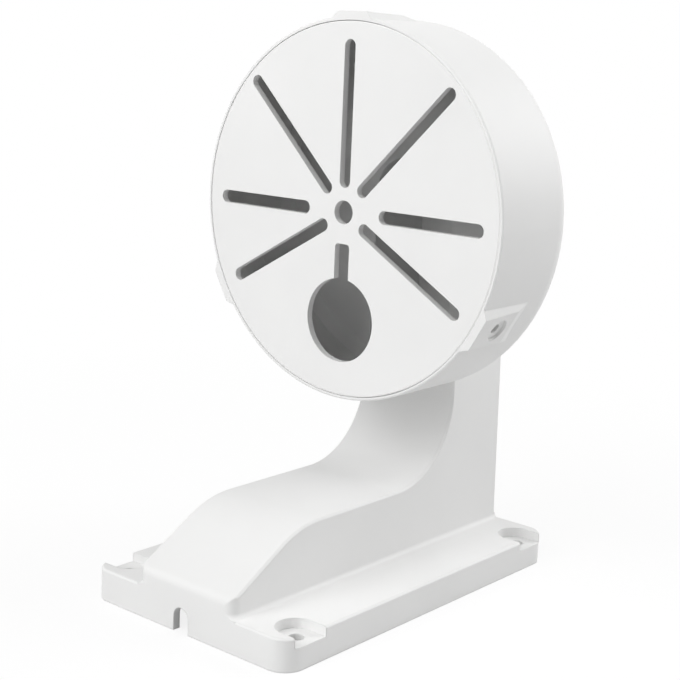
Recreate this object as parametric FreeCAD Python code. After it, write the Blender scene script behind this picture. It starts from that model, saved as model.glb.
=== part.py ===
# Camera wall bracket, all sizes in millimetres.
# The underside of the base lies on the wall plane Z = 0 with the origin at its middle.
# X runs across the base, the slotted cover looks along -Y and Z points away from the wall.
import FreeCAD, Part
import math
import os
from FreeCAD import Vector

# General moulding
wall = 2.6
crease_bevel = 0.65
crease_angle = 15.0
cut_over = 1.0

# Base plate
base_width = 84.0
base_length = 136.0
base_height = 10.4
base_corner = 7.0
base_edge_bevel = 0.6

# Screw pockets at the four corners of the base
pocket_radius = 6.4
pocket_depth = 3.2
pocket_in_from_side = 5.9
pocket_in_from_end = 10.6
wall_screw_hole = 4.8
wall_screw_tube = 9.4

# Cable notch in the front wall of the base
notch_width = 6.3
notch_height = 7.9
notch_top_round = 3.1
notch_off_middle = -1.2

# Arm, heights from the wall plane and lengths from the front of the base
arm_width = 41.0
arm_draft = 0.8
arm_front_height = 16.0
arm_front_round = 3.4
arm_front_corner = 3.5
arm_slope = 30.0
arm_level = 32.7
arm_crest_round = 34.0
arm_hollow_round = 28.0
neck_front = 105.4
arm_back_step = 1.0
arm_top_above_axis = 18.0
arm_top_corner = 14.0
foot_round = 1.6
foot_margin = 0.3

# Drum that carries the cover
axis_height = 123.4
face_from_front = 67.0
drum_radius = 61.0
drum_depth = 40.0
drum_back_round = 9.0
drum_lip_bevel = 0.4
seam_radius = 60.0

# Slotted cover plate
cover_thickness = 2.4
cover_gap = 0.2
cover_edge_bevel = 0.3
slot_width = 4.3
centre_hole = 7.6
slot_runs = [
    (90.0, 7.8, 54.2),
    (-30.0, 7.8, 54.2),
    (210.0, 7.8, 54.2),
    (45.0, 8.3, 57.6),
    (135.0, 8.3, 57.6),
    (0.0, 14.4, 54.3),
    (180.0, 14.4, 54.3),
]
outlet_radius = 13.7
outlet_drop = 35.1
outlet_neck_width = 5.9
outlet_neck_top = 10.2
outlet_neck_corner = 1.2

# Screw pads on the drum and the tabs of the cover behind them
pad_angles = [90.0, -30.0, 210.0]
pad_height = 62.7
pad_half_width = 5.7
pad_foot_half_width = 8.4
pad_level_length = 18.0
pad_length = 26.0
pad_draft_drop = 0.6
side_screw_behind_face = 11.0
side_screw_head = 7.8
side_screw_head_floor = 61.3
side_screw_hole = 3.4
tab_width = 12.0
tab_thickness = 2.9
tab_length = 15.0
tab_clearance = 0.2
tab_pilot_hole = 2.6

# Positions that follow from the sizes above
front = -base_length / 2
back = base_length / 2
face = front + face_from_front
drum_back = face + drum_depth
drum_inner_radius = drum_radius - wall
axis_point = Vector(0, 0, axis_height)
pocket_floor = base_height - pocket_depth
arm_top = axis_height + arm_top_above_axis
arm_back = back - arm_back_step
arm_lean = math.tan(math.radians(arm_draft))
arm_half_at_foot = arm_width / 2 - arm_lean * base_height


def along(start, end):
    """Unit direction from one flat point to the next."""
    run = end[0] - start[0]
    rise = end[1] - start[1]
    length = math.hypot(run, rise)
    return run / length, rise / length


def inset(corners, depth):
    """Moves every side of an anticlockwise outline inward; each corner is (u, v, radius)."""
    moved = []
    for index, corner in enumerate(corners):
        into = along(corners[index - 1], corner)
        away = along(corner, corners[(index + 1) % len(corners)])
        turn = into[0] * away[1] - into[1] * away[0]
        facing = into[0] * away[0] + into[1] * away[1]
        step = depth / (1 + facing)
        u = corner[0] - (into[1] + away[1]) * step
        v = corner[1] + (into[0] + away[0]) * step
        radius = corner[2] - depth if turn > 0 else corner[2] + depth
        moved.append((u, v, max(radius, 0.0) if corner[2] > 0 else 0.0))
    return moved


def rounded_face(corners, place):
    """Face of a closed outline whose corners are (u, v, radius)."""
    bends = []
    for index, corner in enumerate(corners):
        into = along(corners[index - 1], corner)
        away = along(corner, corners[(index + 1) % len(corners)])
        turn = math.acos(max(-1.0, min(1.0, into[0] * away[0] + into[1] * away[1])))
        trim = corner[2] * math.tan(turn / 2)
        inner = along((0, 0), (away[0] - into[0], away[1] - into[1]))
        reach = corner[2] / math.cos(turn / 2) - corner[2]
        start = place(corner[0] - into[0] * trim, corner[1] - into[1] * trim)
        middle = place(corner[0] + inner[0] * reach, corner[1] + inner[1] * reach)
        end = place(corner[0] + away[0] * trim, corner[1] + away[1] * trim)
        bends.append((start, middle, end))
    edges = []
    for index, (start, middle, end) in enumerate(bends):
        last_end = bends[index - 1][2]
        if last_end.distanceToPoint(start) > 1e-6:
            edges.append(Part.makeLine(last_end, start))
        if start.distanceToPoint(end) > 1e-6:
            edges.append(Part.Arc(start, middle, end).toShape())
    return Part.Face(Part.Wire(edges))


def plan(height):
    """Places flat points on a level plane."""
    return lambda u, v: Vector(u, v, height)


def side(across):
    """Places flat points on a plane seen from the side of the base."""
    return lambda u, v: Vector(across, u, v)


def upright(depth):
    """Places flat points on a plane parallel to the cover."""
    return lambda u, v: Vector(u, depth, v)


def box(low, high):
    return Part.makeBox(high[0] - low[0], high[1] - low[1], high[2] - low[2], Vector(*low))


def round_bar(radius, start, run):
    return Part.makeCylinder(radius, run.Length, start, run)


def join(shapes):
    """Fuses a list of solids into one."""
    first = shapes[0]
    rest = shapes[1:]
    return first.multiFuse(rest) if rest else first


def screw_places():
    """Middle points of the four wall screws, with the side each one is open to."""
    across = base_width / 2 - pocket_in_from_side
    ends = (front + pocket_in_from_end, back - pocket_in_from_end)
    return [(hand, hand * across, y) for hand in (-1, 1) for y in ends]


def open_round(hand, x, y, radius, reach, low, high):
    """Round-ended block about a wall screw that runs out to the side of the base."""
    disc = Part.makeCylinder(radius, high - low, Vector(x, y, low))
    run = box((min(x, hand * reach), y - radius, low), (max(x, hand * reach), y + radius, high))
    return disc.fuse(run)


def plate_outline(depth):
    """Outline of the base plate, stepped inward by the given depth."""
    half = base_width / 2
    corners = [
        (-half, front, base_corner),
        (half, front, base_corner),
        (half, back, base_corner),
        (-half, back, base_corner),
    ]
    return inset(corners, depth)


def base_plate():
    """Outer block of the base with its bevelled top edge."""
    block = rounded_face(plate_outline(0), plan(0)).extrude(Vector(0, 0, base_height))
    top_edges = [edge for edge in block.Edges if edge.BoundBox.ZMin > base_height - 1e-6]
    return block.makeChamfer(base_edge_bevel, top_edges)


def base_hollow():
    """Open underside of the base, which leaves the skirts of the screw pockets standing."""
    room = rounded_face(plate_outline(wall), plan(-cut_over))
    room = room.extrude(Vector(0, 0, base_height - wall + cut_over))
    edge = base_width / 2
    well_top = pocket_floor - wall
    skirts = []
    wells = []
    tubes = []
    for hand, x, y in screw_places():
        skirts.append(open_round(hand, x, y, pocket_radius + wall, edge, -cut_over, base_height))
        wells.append(open_round(hand, x, y, pocket_radius, edge, -cut_over, well_top))
        tubes.append(round_bar(wall_screw_tube / 2, Vector(x, y, -cut_over), Vector(0, 0, base_height)))
    wells = join(wells).common(room).cut(tubes)
    return room.cut(skirts).fuse(wells)


def screw_pockets():
    """Cutters of the four pockets and their screw holes."""
    cutters = []
    for hand, x, y in screw_places():
        outside = base_width / 2 + cut_over
        pocket = open_round(hand, x, y, pocket_radius, outside, pocket_floor, base_height + cut_over)
        hole = round_bar(wall_screw_hole / 2, Vector(x, y, -cut_over), Vector(0, 0, base_height))
        cutters.append(pocket.fuse(hole))
    return cutters


def cable_notch():
    """Round-topped notch through the front wall of the base."""
    half = notch_width / 2
    corners = [
        (notch_off_middle - half, -cut_over, 0),
        (notch_off_middle + half, -cut_over, 0),
        (notch_off_middle + half, notch_height, notch_top_round),
        (notch_off_middle - half, notch_height, notch_top_round),
    ]
    start = front - cut_over
    return rounded_face(corners, upright(start)).extrude(Vector(0, wall + 2 * cut_over, 0))


def arm_outline(depth, floor):
    """Front outline of the arm with its drafted sides, stepped inward."""
    low = floor - depth
    wide = arm_width / 2 - arm_lean * low
    narrow = arm_width / 2 - arm_lean * arm_top
    outline = [
        (-wide, low, 0),
        (wide, low, 0),
        (narrow, arm_top, arm_top_corner),
        (-narrow, arm_top, arm_top_corner),
    ]
    return inset(outline, depth)


def arm_form(depth, floor):
    """Arm as the meeting of its side profile and its front outline, both stepped inward."""
    low = floor - depth
    crest = front + (arm_level - arm_front_height) / math.tan(math.radians(arm_slope))
    neck = front + neck_front
    profile = [
        (front, low, 0),
        (arm_back - arm_lean * low, low, 0),
        (arm_back - arm_lean * arm_top, arm_top, 0),
        (neck, arm_top, 0),
        (neck, arm_level, arm_hollow_round),
        (crest, arm_level, arm_crest_round),
        (front, arm_front_height, arm_front_round),
    ]
    long_bar = rounded_face(inset(profile, depth), side(-base_width))
    long_bar = long_bar.extrude(Vector(2 * base_width, 0, 0))
    deep_bar = rounded_face(arm_outline(depth, floor), upright(2 * front))
    deep_bar = deep_bar.extrude(Vector(0, 2 * base_length, 0))
    return long_bar.common(deep_bar)


def is_crease(shape, edge):
    """True for an edge whose two faces meet at a real angle."""
    point = edge.valueAt((edge.FirstParameter + edge.LastParameter) / 2)
    normals = []
    for face_beside in shape.ancestorsOfType(edge, Part.Face):
        u, v = face_beside.Surface.parameter(point)
        normals.append(face_beside.normalAt(u, v))
    return len(normals) == 2 and math.degrees(normals[0].getAngle(normals[1])) > crease_angle


def both_hands(shape):
    """A shape made at the right with its mirror image at the left."""
    return [shape, shape.mirror(Vector(0, 0, 0), Vector(1, 0, 0))]


def front_corner_cutters():
    """Round the two upright front corners of the arm, in line with the draft of its sides."""
    inner = arm_half_at_foot - arm_front_corner
    behind = front + arm_front_corner
    low = front - cut_over
    wide = arm_half_at_foot + cut_over
    square = rounded_face(
        [(inner, low, 0), (wide, low, 0), (wide, behind, 0), (inner, behind, 0)],
        plan(base_height),
    )
    disc = Part.Face(Part.Wire(Part.makeCircle(arm_front_corner, Vector(inner, behind, base_height))))
    rise = Vector(-arm_lean * arm_level, 0, arm_level)
    return both_hands(square.extrude(rise).cut(disc.extrude(rise)))


def arm_outside():
    """Arm with bevelled creases between its side walls and its long outline."""
    form = arm_form(0, 0).Solids[0]
    upper_edges = [edge for edge in form.Edges if edge.BoundBox.ZMax > base_height]
    creases = [edge for edge in upper_edges if is_crease(form, edge)]
    return form.makeChamfer(crease_bevel, creases).cut(front_corner_cutters())


def arm_socket():
    """Square-cornered stub of the arm within the thickness of the plate."""
    return box((-arm_half_at_foot, front, 0), (arm_half_at_foot, 0, base_height))


def foot_blends():
    """Concave roundings between the plate and the arm, along its sides and round its front corners."""
    reach = foot_round + foot_margin
    inner = arm_half_at_foot - arm_front_corner
    behind = front + arm_front_corner
    section = [
        (arm_front_corner / 2, base_height - cut_over, 0),
        (arm_front_corner + reach, base_height - cut_over, 0),
        (arm_front_corner + reach, base_height, 0),
        (arm_front_corner, base_height, foot_round),
        (arm_front_corner - arm_lean * reach, base_height + reach, 0),
        (arm_front_corner / 2, base_height + reach, 0),
    ]
    profile = rounded_face(section, lambda u, v: Vector(inner + u, behind, v))
    strip = profile.extrude(Vector(0, arm_back - arm_lean * (base_height + reach) - behind, 0))
    bend = profile.revolve(Vector(inner, behind, 0), Vector(0, 0, 1), -90)
    bend = bend.common(box((0, front, 0), (base_width, 0, arm_level)))
    return both_hands(strip.fuse(bend))


def neck_mouth():
    """Opening from the drum into the neck, as wide as the hollow of the neck."""
    start = drum_back - wall - cut_over
    end = front + neck_front + wall + cut_over
    low = axis_height - drum_radius + drum_back_round + wall
    bar = rounded_face(arm_outline(wall, -cut_over), upright(start)).extrude(Vector(0, end - start, 0))
    return bar.common(box((-arm_width, start, low), (arm_width, end, arm_top)))


def turned(profile):
    """Turns a flat profile of (radius, depth, bend radius) about the axis of the drum."""
    face_of_profile = rounded_face(profile, lambda u, v: Vector(u, v, axis_height))
    return face_of_profile.revolve(axis_point, Vector(0, 1, 0), 360)


def drum_outside():
    return turned([
        (0, face, 0),
        (drum_radius - drum_lip_bevel, face, 0),
        (drum_radius, face + drum_lip_bevel, 0),
        (drum_radius, drum_back, drum_back_round),
        (0, drum_back, 0),
    ])


def drum_room():
    """Inside of the drum with the wider mouth that seats the cover."""
    seat = face + cover_thickness
    corner_cut = (drum_back_round - wall) * (2 - math.sqrt(2))
    return turned([
        (0, face - cut_over, 0),
        (seam_radius, face - cut_over, 0),
        (seam_radius, seat, 0),
        (drum_inner_radius, seat, 0),
        (drum_inner_radius, drum_back - wall - corner_cut, 0),
        (drum_inner_radius - corner_cut, drum_back - wall, 0),
        (0, drum_back - wall, 0),
    ])


def about_axis(shape, angle):
    """Turns a shape made at the right-hand side of the drum to the given direction."""
    turned_shape = shape.copy()
    turned_shape.rotate(axis_point, Vector(0, -1, 0), angle)
    return turned_shape


def screw_pads():
    """Raised flats about the three side screws, ramped down to the drum at the back."""
    root = drum_inner_radius - wall
    shoulder = pad_height - (pad_foot_half_width - pad_half_width)
    across = [
        (root, -pad_foot_half_width, 0),
        (shoulder, -pad_foot_half_width, 0),
        (pad_height, -pad_half_width, 0),
        (pad_height, pad_half_width, 0),
        (shoulder, pad_foot_half_width, 0),
        (root, pad_foot_half_width, 0),
    ]
    lengthwise = [
        (root, face, 0),
        (pad_height, face, 0),
        (pad_height - pad_draft_drop, face + pad_level_length, 0),
        (shoulder, face + pad_length, 0),
        (root, face + pad_length, 0),
    ]
    bar = rounded_face(across, lambda u, v: Vector(u, face, axis_height + v))
    bar = bar.extrude(Vector(0, pad_length, 0))
    ramp = rounded_face(lengthwise, lambda u, v: Vector(u, v, axis_height - pad_foot_half_width))
    ramp = ramp.extrude(Vector(0, 0, 2 * pad_foot_half_width))
    pad = bar.common(ramp)
    return [about_axis(pad, angle) for angle in pad_angles]


def side_screw_bores():
    """Stepped radial holes of the three side screws."""
    depth = face + side_screw_behind_face
    out = Vector(pad_height + cut_over - side_screw_head_floor, 0, 0)
    head = round_bar(side_screw_head / 2, Vector(side_screw_head_floor, depth, axis_height), out)
    start = Vector(drum_inner_radius - wall, depth, axis_height)
    shank = round_bar(side_screw_hole / 2, start, Vector(pad_height - start.x, 0, 0))
    bore = head.fuse(shank)
    return [about_axis(bore, angle) for angle in pad_angles]


def bracket_body():
    """The one-piece moulding: base, arm and drum."""
    forms = [base_plate(), arm_outside(), arm_socket(), drum_outside()]
    solid = join(forms + foot_blends() + screw_pads())
    hollows = [arm_form(wall, -cut_over), base_hollow(), cable_notch(), neck_mouth(), drum_room()]
    return solid.cut(hollows + screw_pockets() + side_screw_bores()).removeSplitter()


def slot(inner, outer):
    """Round-ended slot cutter that runs out along +X from the axis."""
    half = slot_width / 2
    start = face - cut_over
    run = cover_thickness + 2 * cut_over
    bar = box((inner + half, start, axis_height - half), (outer - half, start + run, axis_height + half))
    ends = [
        round_bar(half, Vector(end, start, axis_height), Vector(0, run, 0))
        for end in (inner + half, outer - half)
    ]
    return bar.multiFuse(ends)


def cable_outlet():
    """Keyhole cutter: a round outlet with a narrow neck toward the middle of the cover."""
    start = face - cut_over
    run = Vector(0, cover_thickness + 2 * cut_over, 0)
    middle = axis_height - outlet_drop
    circle = round_bar(outlet_radius, Vector(0, start, middle), run)
    half = outlet_neck_width / 2
    corners = [
        (-half, middle, 0),
        (half, middle, 0),
        (half, axis_height - outlet_neck_top, outlet_neck_corner),
        (-half, axis_height - outlet_neck_top, outlet_neck_corner),
    ]
    neck = rounded_face(corners, upright(start)).extrude(run)
    return circle.fuse(neck)


def cover_tab():
    """Tab behind the cover with the pilot hole of a side screw, made at the right."""
    outer = drum_inner_radius - tab_clearance
    inner = outer - tab_thickness
    start = face + cover_thickness / 2
    end = face + cover_thickness + tab_length
    half = tab_width / 2
    block = box((inner, start, axis_height - half), (drum_radius, end, axis_height + half))
    rim = round_bar(outer, Vector(0, start, axis_height), Vector(0, end - start, 0))
    bore_start = Vector(inner - cut_over, face + side_screw_behind_face, axis_height)
    pilot = round_bar(tab_pilot_hole / 2, bore_start, Vector(tab_thickness + 2 * cut_over, 0, 0))
    return block.common(rim).cut(pilot)


def cover_plate():
    """The slotted plate that closes the drum."""
    outer = seam_radius - cover_gap
    disc = turned([
        (0, face, 0),
        (outer - cover_edge_bevel, face, 0),
        (outer, face + cover_edge_bevel, 0),
        (outer, face + cover_thickness, 0),
        (0, face + cover_thickness, 0),
    ])
    tabs = [about_axis(cover_tab(), angle) for angle in pad_angles]
    cutters = [about_axis(slot(inner, outer_end), angle) for angle, inner, outer_end in slot_runs]
    start = Vector(0, face - cut_over, axis_height)
    cutters.append(round_bar(centre_hole / 2, start, Vector(0, cover_thickness + 2 * cut_over, 0)))
    cutters.append(cable_outlet())
    return disc.multiFuse(tabs).cut(cutters).removeSplitter()


os.makedirs("parts", exist_ok=True)
for name, shape in (("bracket_body", bracket_body()), ("cover_plate", cover_plate())):
    solids = shape.Solids
    print(name, shape.isValid(), len(solids), "solid", round(shape.Volume), "mm3")
    solids[0].exportStep("parts/" + name + ".step")
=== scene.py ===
import math

import bpy
from mathutils import Matrix, Vector


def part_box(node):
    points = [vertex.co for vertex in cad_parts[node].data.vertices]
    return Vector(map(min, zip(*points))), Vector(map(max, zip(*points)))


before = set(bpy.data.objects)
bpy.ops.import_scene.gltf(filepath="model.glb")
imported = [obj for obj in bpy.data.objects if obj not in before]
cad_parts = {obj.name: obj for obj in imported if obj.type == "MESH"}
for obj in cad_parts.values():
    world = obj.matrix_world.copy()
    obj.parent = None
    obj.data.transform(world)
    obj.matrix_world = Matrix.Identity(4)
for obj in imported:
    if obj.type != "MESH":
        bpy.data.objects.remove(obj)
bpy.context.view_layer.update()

# The photograph and its camera, places in metres, angles in degrees, sensor in millimetres
IMAGE_SIDE = 680
FOCAL_PIXELS = 1422.5
SENSOR_WIDTH = 36.0
CAMERA_PLACE = (0.2908, -0.3477, 0.1775)
CAMERA_AZIMUTH = 39.915
CAMERA_ELEVATION = 11.946
CAMERA_ROLL = 2.389
CAMERA_CLIP = 0.01

# Soft lamps round the object, all aimed at its middle from the same distance
LIGHT_TARGET = (0.0, 0.0, 0.09)
LIGHT_DISTANCE = 1.2
LAMPS = (
    # name, azimuth and elevation in degrees, width in metres, power in watts
    ("key_lamp", -28.0, 42.0, 0.9, 4.4),
    ("front_lamp", -5.0, 25.0, 0.9, 6.0),
    ("high_lamp", 75.0, 76.0, 0.9, 2.5),
    ("back_lamp", 145.0, 30.0, 0.9, 8.0),
)

# White world, which the camera sees at full white
WHITE = (1.0, 1.0, 1.0, 1.0)
WORLD_STRENGTH = 0.3
SEEN_STRENGTH = 1.0

# Floor, a little below the base so that the two never share a plane
FLOOR_SIZE = 6.0
FLOOR_DROP = 0.0001
FLOOR_SEEN_COLOUR = (0.97, 0.97, 0.97, 1.0)
FLOOR_BOUNCE_COLOUR = (0.68, 0.68, 0.68, 1.0)

# The floor's glow to the camera grows to full white away from the object
FLOOR_GLOW_NEAR = 0.85
FLOOR_GLOW_FAR = 1.0
FLOOR_NEAR = 0.10
FLOOR_FAR = 0.40

# Moulded white ABS, with scales in waves per metre and lengths in metres
ABS_COLOUR = (0.83, 0.83, 0.825, 1.0)
ABS_SHADED_COLOUR = (0.80, 0.80, 0.795, 1.0)
ABS_IOR = 1.5
ABS_SPECULAR = 0.4
FLOW_SCALE = 22.0
FLOW_DETAIL = 3.0
GRAIN_SCALE = 2600.0
GRAIN_DETAIL = 2.0
GRAIN_HEIGHT = 0.00003
GRAIN_STRENGTH = 0.35
ROUGHNESS_LOW = 0.42
ROUGHNESS_HIGH = 0.56

# Noise values mostly lie between these two, and a seed shifts the noise along this way
NOISE_LOW = 0.3
NOISE_HIGH = 0.7
SEED_WAY = (1.0, 0.7, 0.3)
BODY_SEED = 1.0
COVER_SEED = 5.0
GRAIN_SEED_STEP = 3.1

# Edges are crisp at the drum's mouth and on the cover, and softer elsewhere
EDGE_RADIUS = 0.0006
EDGE_SAMPLES = 6
MOUTH_EDGE_RADIUS = 0.0002
MOUTH_BACK = 0.002
MOUTH_LOW = 0.055
MOUTH_FADE = 0.003

# Painted light: the walls of the cover's seam are painted paler, standing in for light that
# seeps through its thin edges into the gap
SEAM_PAINTED_LIGHT_COLOUR = (0.95, 0.95, 0.945, 1.0)
SEAM_REACH = 0.0005
SEAM_START = 0.00005
SEAM_DEPTH = 0.0024


def direction(azimuth, elevation):
    """Unit vector from the object toward a place seen at these angles."""
    turn = math.radians(azimuth)
    rise = math.radians(elevation)
    level = math.cos(rise)
    return Vector((math.sin(turn) * level, -math.cos(turn) * level, math.sin(rise)))


def add_camera():
    """Camera that stands where the photograph was taken."""
    data = bpy.data.cameras.new("photo_camera")
    data.sensor_fit = "HORIZONTAL"
    data.sensor_width = SENSOR_WIDTH
    data.lens = FOCAL_PIXELS / IMAGE_SIDE * SENSOR_WIDTH
    data.clip_start = CAMERA_CLIP
    camera = bpy.data.objects.new("photo_camera", data)
    bpy.context.scene.collection.objects.link(camera)
    turn = Matrix.Rotation(math.radians(CAMERA_AZIMUTH), 4, "Z")
    tilt = Matrix.Rotation(math.radians(90.0 - CAMERA_ELEVATION), 4, "X")
    roll = Matrix.Rotation(math.radians(CAMERA_ROLL), 4, "Z")
    camera.matrix_world = Matrix.Translation(CAMERA_PLACE) @ turn @ tilt @ roll
    bpy.context.scene.camera = camera


def add_lamp(name, azimuth, elevation, width, power):
    """Round area lamp that faces the middle of the object."""
    data = bpy.data.lights.new(name, "AREA")
    data.shape = "DISK"
    data.size = width
    data.energy = power
    lamp = bpy.data.objects.new(name, data)
    bpy.context.scene.collection.objects.link(lamp)
    away = direction(azimuth, elevation)
    lamp.location = Vector(LIGHT_TARGET) + away * LIGHT_DISTANCE
    lamp.rotation_euler = away.to_track_quat("Z", "Y").to_euler()


def joined(tree, operation, first, second):
    """Two values joined by one operation."""
    both = tree.nodes.new("ShaderNodeMath")
    both.operation = operation
    tree.links.new(first, both.inputs[0])
    tree.links.new(second, both.inputs[1])
    return both.outputs[0]


def within(tree, source, middle, reach):
    """1 where a measure lies within reach of a middle value, 0 elsewhere."""
    check = tree.nodes.new("ShaderNodeMath")
    check.operation = "COMPARE"
    check.inputs[1].default_value = middle
    check.inputs[2].default_value = reach
    tree.links.new(source, check.inputs[0])
    return check.outputs[0]


def ramp(tree, source, start, end, low, high, kind="LINEAR"):
    """Maps a measure between two places onto a range, held beyond them."""
    span = tree.nodes.new("ShaderNodeMapRange")
    span.interpolation_type = kind
    span.inputs["From Min"].default_value = start
    span.inputs["From Max"].default_value = end
    span.inputs["To Min"].default_value = low
    span.inputs["To Max"].default_value = high
    tree.links.new(source, span.inputs["Value"])
    return span.outputs["Result"]


def with_vector(tree, operation, place, vector):
    """The place joined with a fixed vector by one operation."""
    both = tree.nodes.new("ShaderNodeVectorMath")
    both.operation = operation
    both.inputs[1].default_value = vector
    tree.links.new(place, both.inputs[0])
    return both.outputs[0]


def distance(tree, place):
    """How far the place lies from zero."""
    measure = tree.nodes.new("ShaderNodeVectorMath")
    measure.operation = "LENGTH"
    tree.links.new(place, measure.inputs[0])
    return measure.outputs["Value"]


def colour_mix(tree, share, first, second):
    """Node that goes from a first to a second colour as the share grows."""
    mix = tree.nodes.new("ShaderNodeMix")
    mix.data_type = "RGBA"
    mix.inputs["A"].default_value = first
    mix.inputs["B"].default_value = second
    tree.links.new(share, mix.inputs["Factor"])
    return mix


def background(tree, strength):
    """White background of a given strength."""
    light = tree.nodes.new("ShaderNodeBackground")
    light.inputs["Color"].default_value = WHITE
    light.inputs["Strength"].default_value = strength
    return light.outputs[0]


def finish_mix(tree, share, first, second, output_kind):
    """Mixes two shaders by a share and sends the result to the output."""
    mix = tree.nodes.new("ShaderNodeMixShader")
    out = tree.nodes.new(output_kind)
    tree.links.new(share, mix.inputs["Fac"])
    tree.links.new(first, mix.inputs[1])
    tree.links.new(second, mix.inputs[2])
    tree.links.new(mix.outputs[0], out.inputs["Surface"])


def seen_ray(tree):
    """1 for what the camera sees straight, in gloss or through glass, 0 elsewhere."""
    path = tree.nodes.new("ShaderNodeLightPath")
    seen = path.outputs["Is Camera Ray"]
    for name in ("Is Glossy Ray", "Is Transmission Ray"):
        seen = joined(tree, "MAXIMUM", seen, path.outputs[name])
    return seen


def add_world():
    """White world, soft as a light and full white as a background."""
    world = bpy.data.worlds.new("studio")
    bpy.context.scene.world = world
    world.use_nodes = True
    tree = world.node_tree
    tree.nodes.clear()
    soft = background(tree, WORLD_STRENGTH)
    white = background(tree, SEEN_STRENGTH)
    finish_mix(tree, seen_ray(tree), soft, white, "ShaderNodeOutputWorld")


def floor_material():
    """White that keeps shadows near the object and fades into the background."""
    material = bpy.data.materials.new("floor_white")
    material.use_nodes = True
    tree = material.node_tree
    tree.nodes.clear()
    seen = seen_ray(tree)

    paint = colour_mix(tree, seen, FLOOR_BOUNCE_COLOUR, FLOOR_SEEN_COLOUR)
    diffuse = tree.nodes.new("ShaderNodeBsdfDiffuse")
    tree.links.new(paint.outputs["Result"], diffuse.inputs["Color"])

    away = distance(tree, tree.nodes.new("ShaderNodeTexCoord").outputs["Object"])
    ends = (FLOOR_NEAR, FLOOR_FAR, FLOOR_GLOW_NEAR, FLOOR_GLOW_FAR)
    share = joined(tree, "MULTIPLY", seen, ramp(tree, away, *ends, "SMOOTHSTEP"))

    glow = tree.nodes.new("ShaderNodeEmission")
    glow.inputs["Strength"].default_value = SEEN_STRENGTH
    finish_mix(tree, share, diffuse.outputs[0], glow.outputs[0], "ShaderNodeOutputMaterial")
    return material


def add_floor():
    """Level white floor under the base."""
    half = FLOOR_SIZE / 2
    mesh = bpy.data.meshes.new("floor")
    corners = [(-half, -half, 0.0), (half, -half, 0.0), (half, half, 0.0), (-half, half, 0.0)]
    mesh.from_pydata(corners, [], [(0, 1, 2, 3)])
    mesh.materials.append(floor_material())
    floor = bpy.data.objects.new("floor", mesh)
    floor.location.z = -FLOOR_DROP
    bpy.context.scene.collection.objects.link(floor)


def noise(tree, place, scale, detail, seed):
    """Noise texture of the object's own space, shifted by a seed."""
    shift = [seed * step for step in SEED_WAY]
    texture = tree.nodes.new("ShaderNodeTexNoise")
    texture.inputs["Scale"].default_value = scale
    texture.inputs["Detail"].default_value = detail
    tree.links.new(with_vector(tree, "ADD", place, shift), texture.inputs["Vector"])
    return texture.outputs["Fac"]


def spread(tree, source, low, high):
    """Maps a noise value, which stays near the middle, onto a range."""
    return ramp(tree, source, NOISE_LOW, NOISE_HIGH, low, high)


def edge_radius(tree, axes):
    """Softness of the edges, small at the drum's mouth and cover and larger elsewhere."""
    back_end = MOUTH_BACK + MOUTH_FADE
    low_end = MOUTH_LOW + MOUTH_FADE
    behind = ramp(tree, axes["Y"], MOUTH_BACK, back_end, MOUTH_EDGE_RADIUS, EDGE_RADIUS)
    below = ramp(tree, axes["Z"], MOUTH_LOW, low_end, EDGE_RADIUS, MOUTH_EDGE_RADIUS)
    return joined(tree, "MAXIMUM", behind, below)


def seam_painted_light_share(tree, place, axes):
    """1 on the walls of the gap between the cover and the drum's lip, where light is painted
    in, 0 elsewhere.
    """
    low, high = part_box("cover_plate")
    axis_height = (low[2] + high[2]) / 2
    cover_radius = (high[0] - low[0]) / 2
    half_depth = SEAM_DEPTH / 2
    middle = low[1] + SEAM_START + half_depth
    centred = with_vector(tree, "ADD", place, (0.0, 0.0, -axis_height))
    flat = with_vector(tree, "MULTIPLY", centred, (1.0, 0.0, 1.0))
    near = within(tree, distance(tree, flat), cover_radius, SEAM_REACH)
    deep = within(tree, axes["Y"], middle, half_depth)
    return joined(tree, "MULTIPLY", near, deep)


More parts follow.
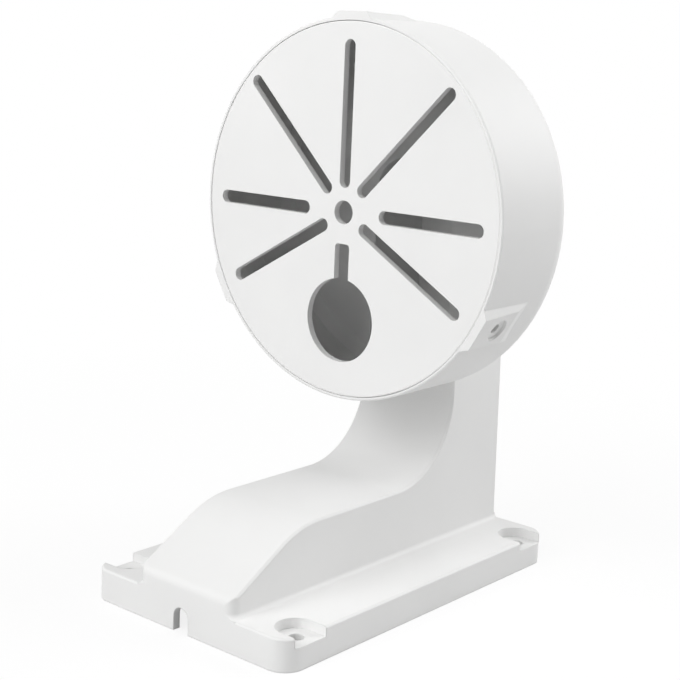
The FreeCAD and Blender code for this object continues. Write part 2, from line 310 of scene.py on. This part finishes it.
def abs_colour(tree, place, axes, seed):
    """White that varies slowly with the flow of the plastic, with painted light making it
    paler in the seam.
    """
    flow = noise(tree, place, FLOW_SCALE, FLOW_DETAIL, seed)
    tint = colour_mix(tree, spread(tree, flow, 0.0, 1.0), ABS_SHADED_COLOUR, ABS_COLOUR)
    # Painted light: the seam's walls get a paler colour in place of the light that reaches
    # into the gap
    paint = colour_mix(tree, seam_painted_light_share(tree, place, axes), ABS_COLOUR, SEAM_PAINTED_LIGHT_COLOUR)
    tree.links.new(tint.outputs["Result"], paint.inputs["A"])
    return paint.outputs["Result"]


def abs_normal(tree, axes, grain):
    """Softened edges with the fine grain on top."""
    edge = tree.nodes.new("ShaderNodeBevel")
    edge.samples = EDGE_SAMPLES
    tree.links.new(edge_radius(tree, axes), edge.inputs["Radius"])
    bump = tree.nodes.new("ShaderNodeBump")
    bump.inputs["Strength"].default_value = GRAIN_STRENGTH
    bump.inputs["Distance"].default_value = GRAIN_HEIGHT
    tree.links.new(grain, bump.inputs["Height"])
    tree.links.new(edge.outputs["Normal"], bump.inputs["Normal"])
    return bump.outputs["Normal"]


def moulded_abs(name, seed):
    """White ABS with a fine eroded grain, slow flow variation and softened edges."""
    material = bpy.data.materials.new(name)
    material.use_nodes = True
    tree = material.node_tree
    place = tree.nodes.new("ShaderNodeTexCoord").outputs["Object"]
    parts = tree.nodes.new("ShaderNodeSeparateXYZ")
    tree.links.new(place, parts.inputs[0])
    axes = parts.outputs
    grain = noise(tree, place, GRAIN_SCALE, GRAIN_DETAIL, seed + GRAIN_SEED_STEP)
    roughness = spread(tree, grain, ROUGHNESS_LOW, ROUGHNESS_HIGH)

    shader = tree.nodes["Principled BSDF"]
    shader.inputs["IOR"].default_value = ABS_IOR
    shader.inputs["Specular IOR Level"].default_value = ABS_SPECULAR
    tree.links.new(abs_colour(tree, place, axes, seed), shader.inputs["Base Color"])
    tree.links.new(roughness, shader.inputs["Roughness"])
    tree.links.new(abs_normal(tree, axes, grain), shader.inputs["Normal"])
    return material


def dress(node, material):
    """Gives a CAD piece its material."""
    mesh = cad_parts[node].data
    mesh.materials.clear()
    mesh.materials.append(material)


add_camera()
add_world()
add_floor()
for lamp in LAMPS:
    add_lamp(*lamp)

dress("bracket_body", moulded_abs("body_abs", BODY_SEED))
dress("cover_plate", moulded_abs("cover_abs", COVER_SEED))

bpy.context.scene.view_settings.view_transform = "Standard"
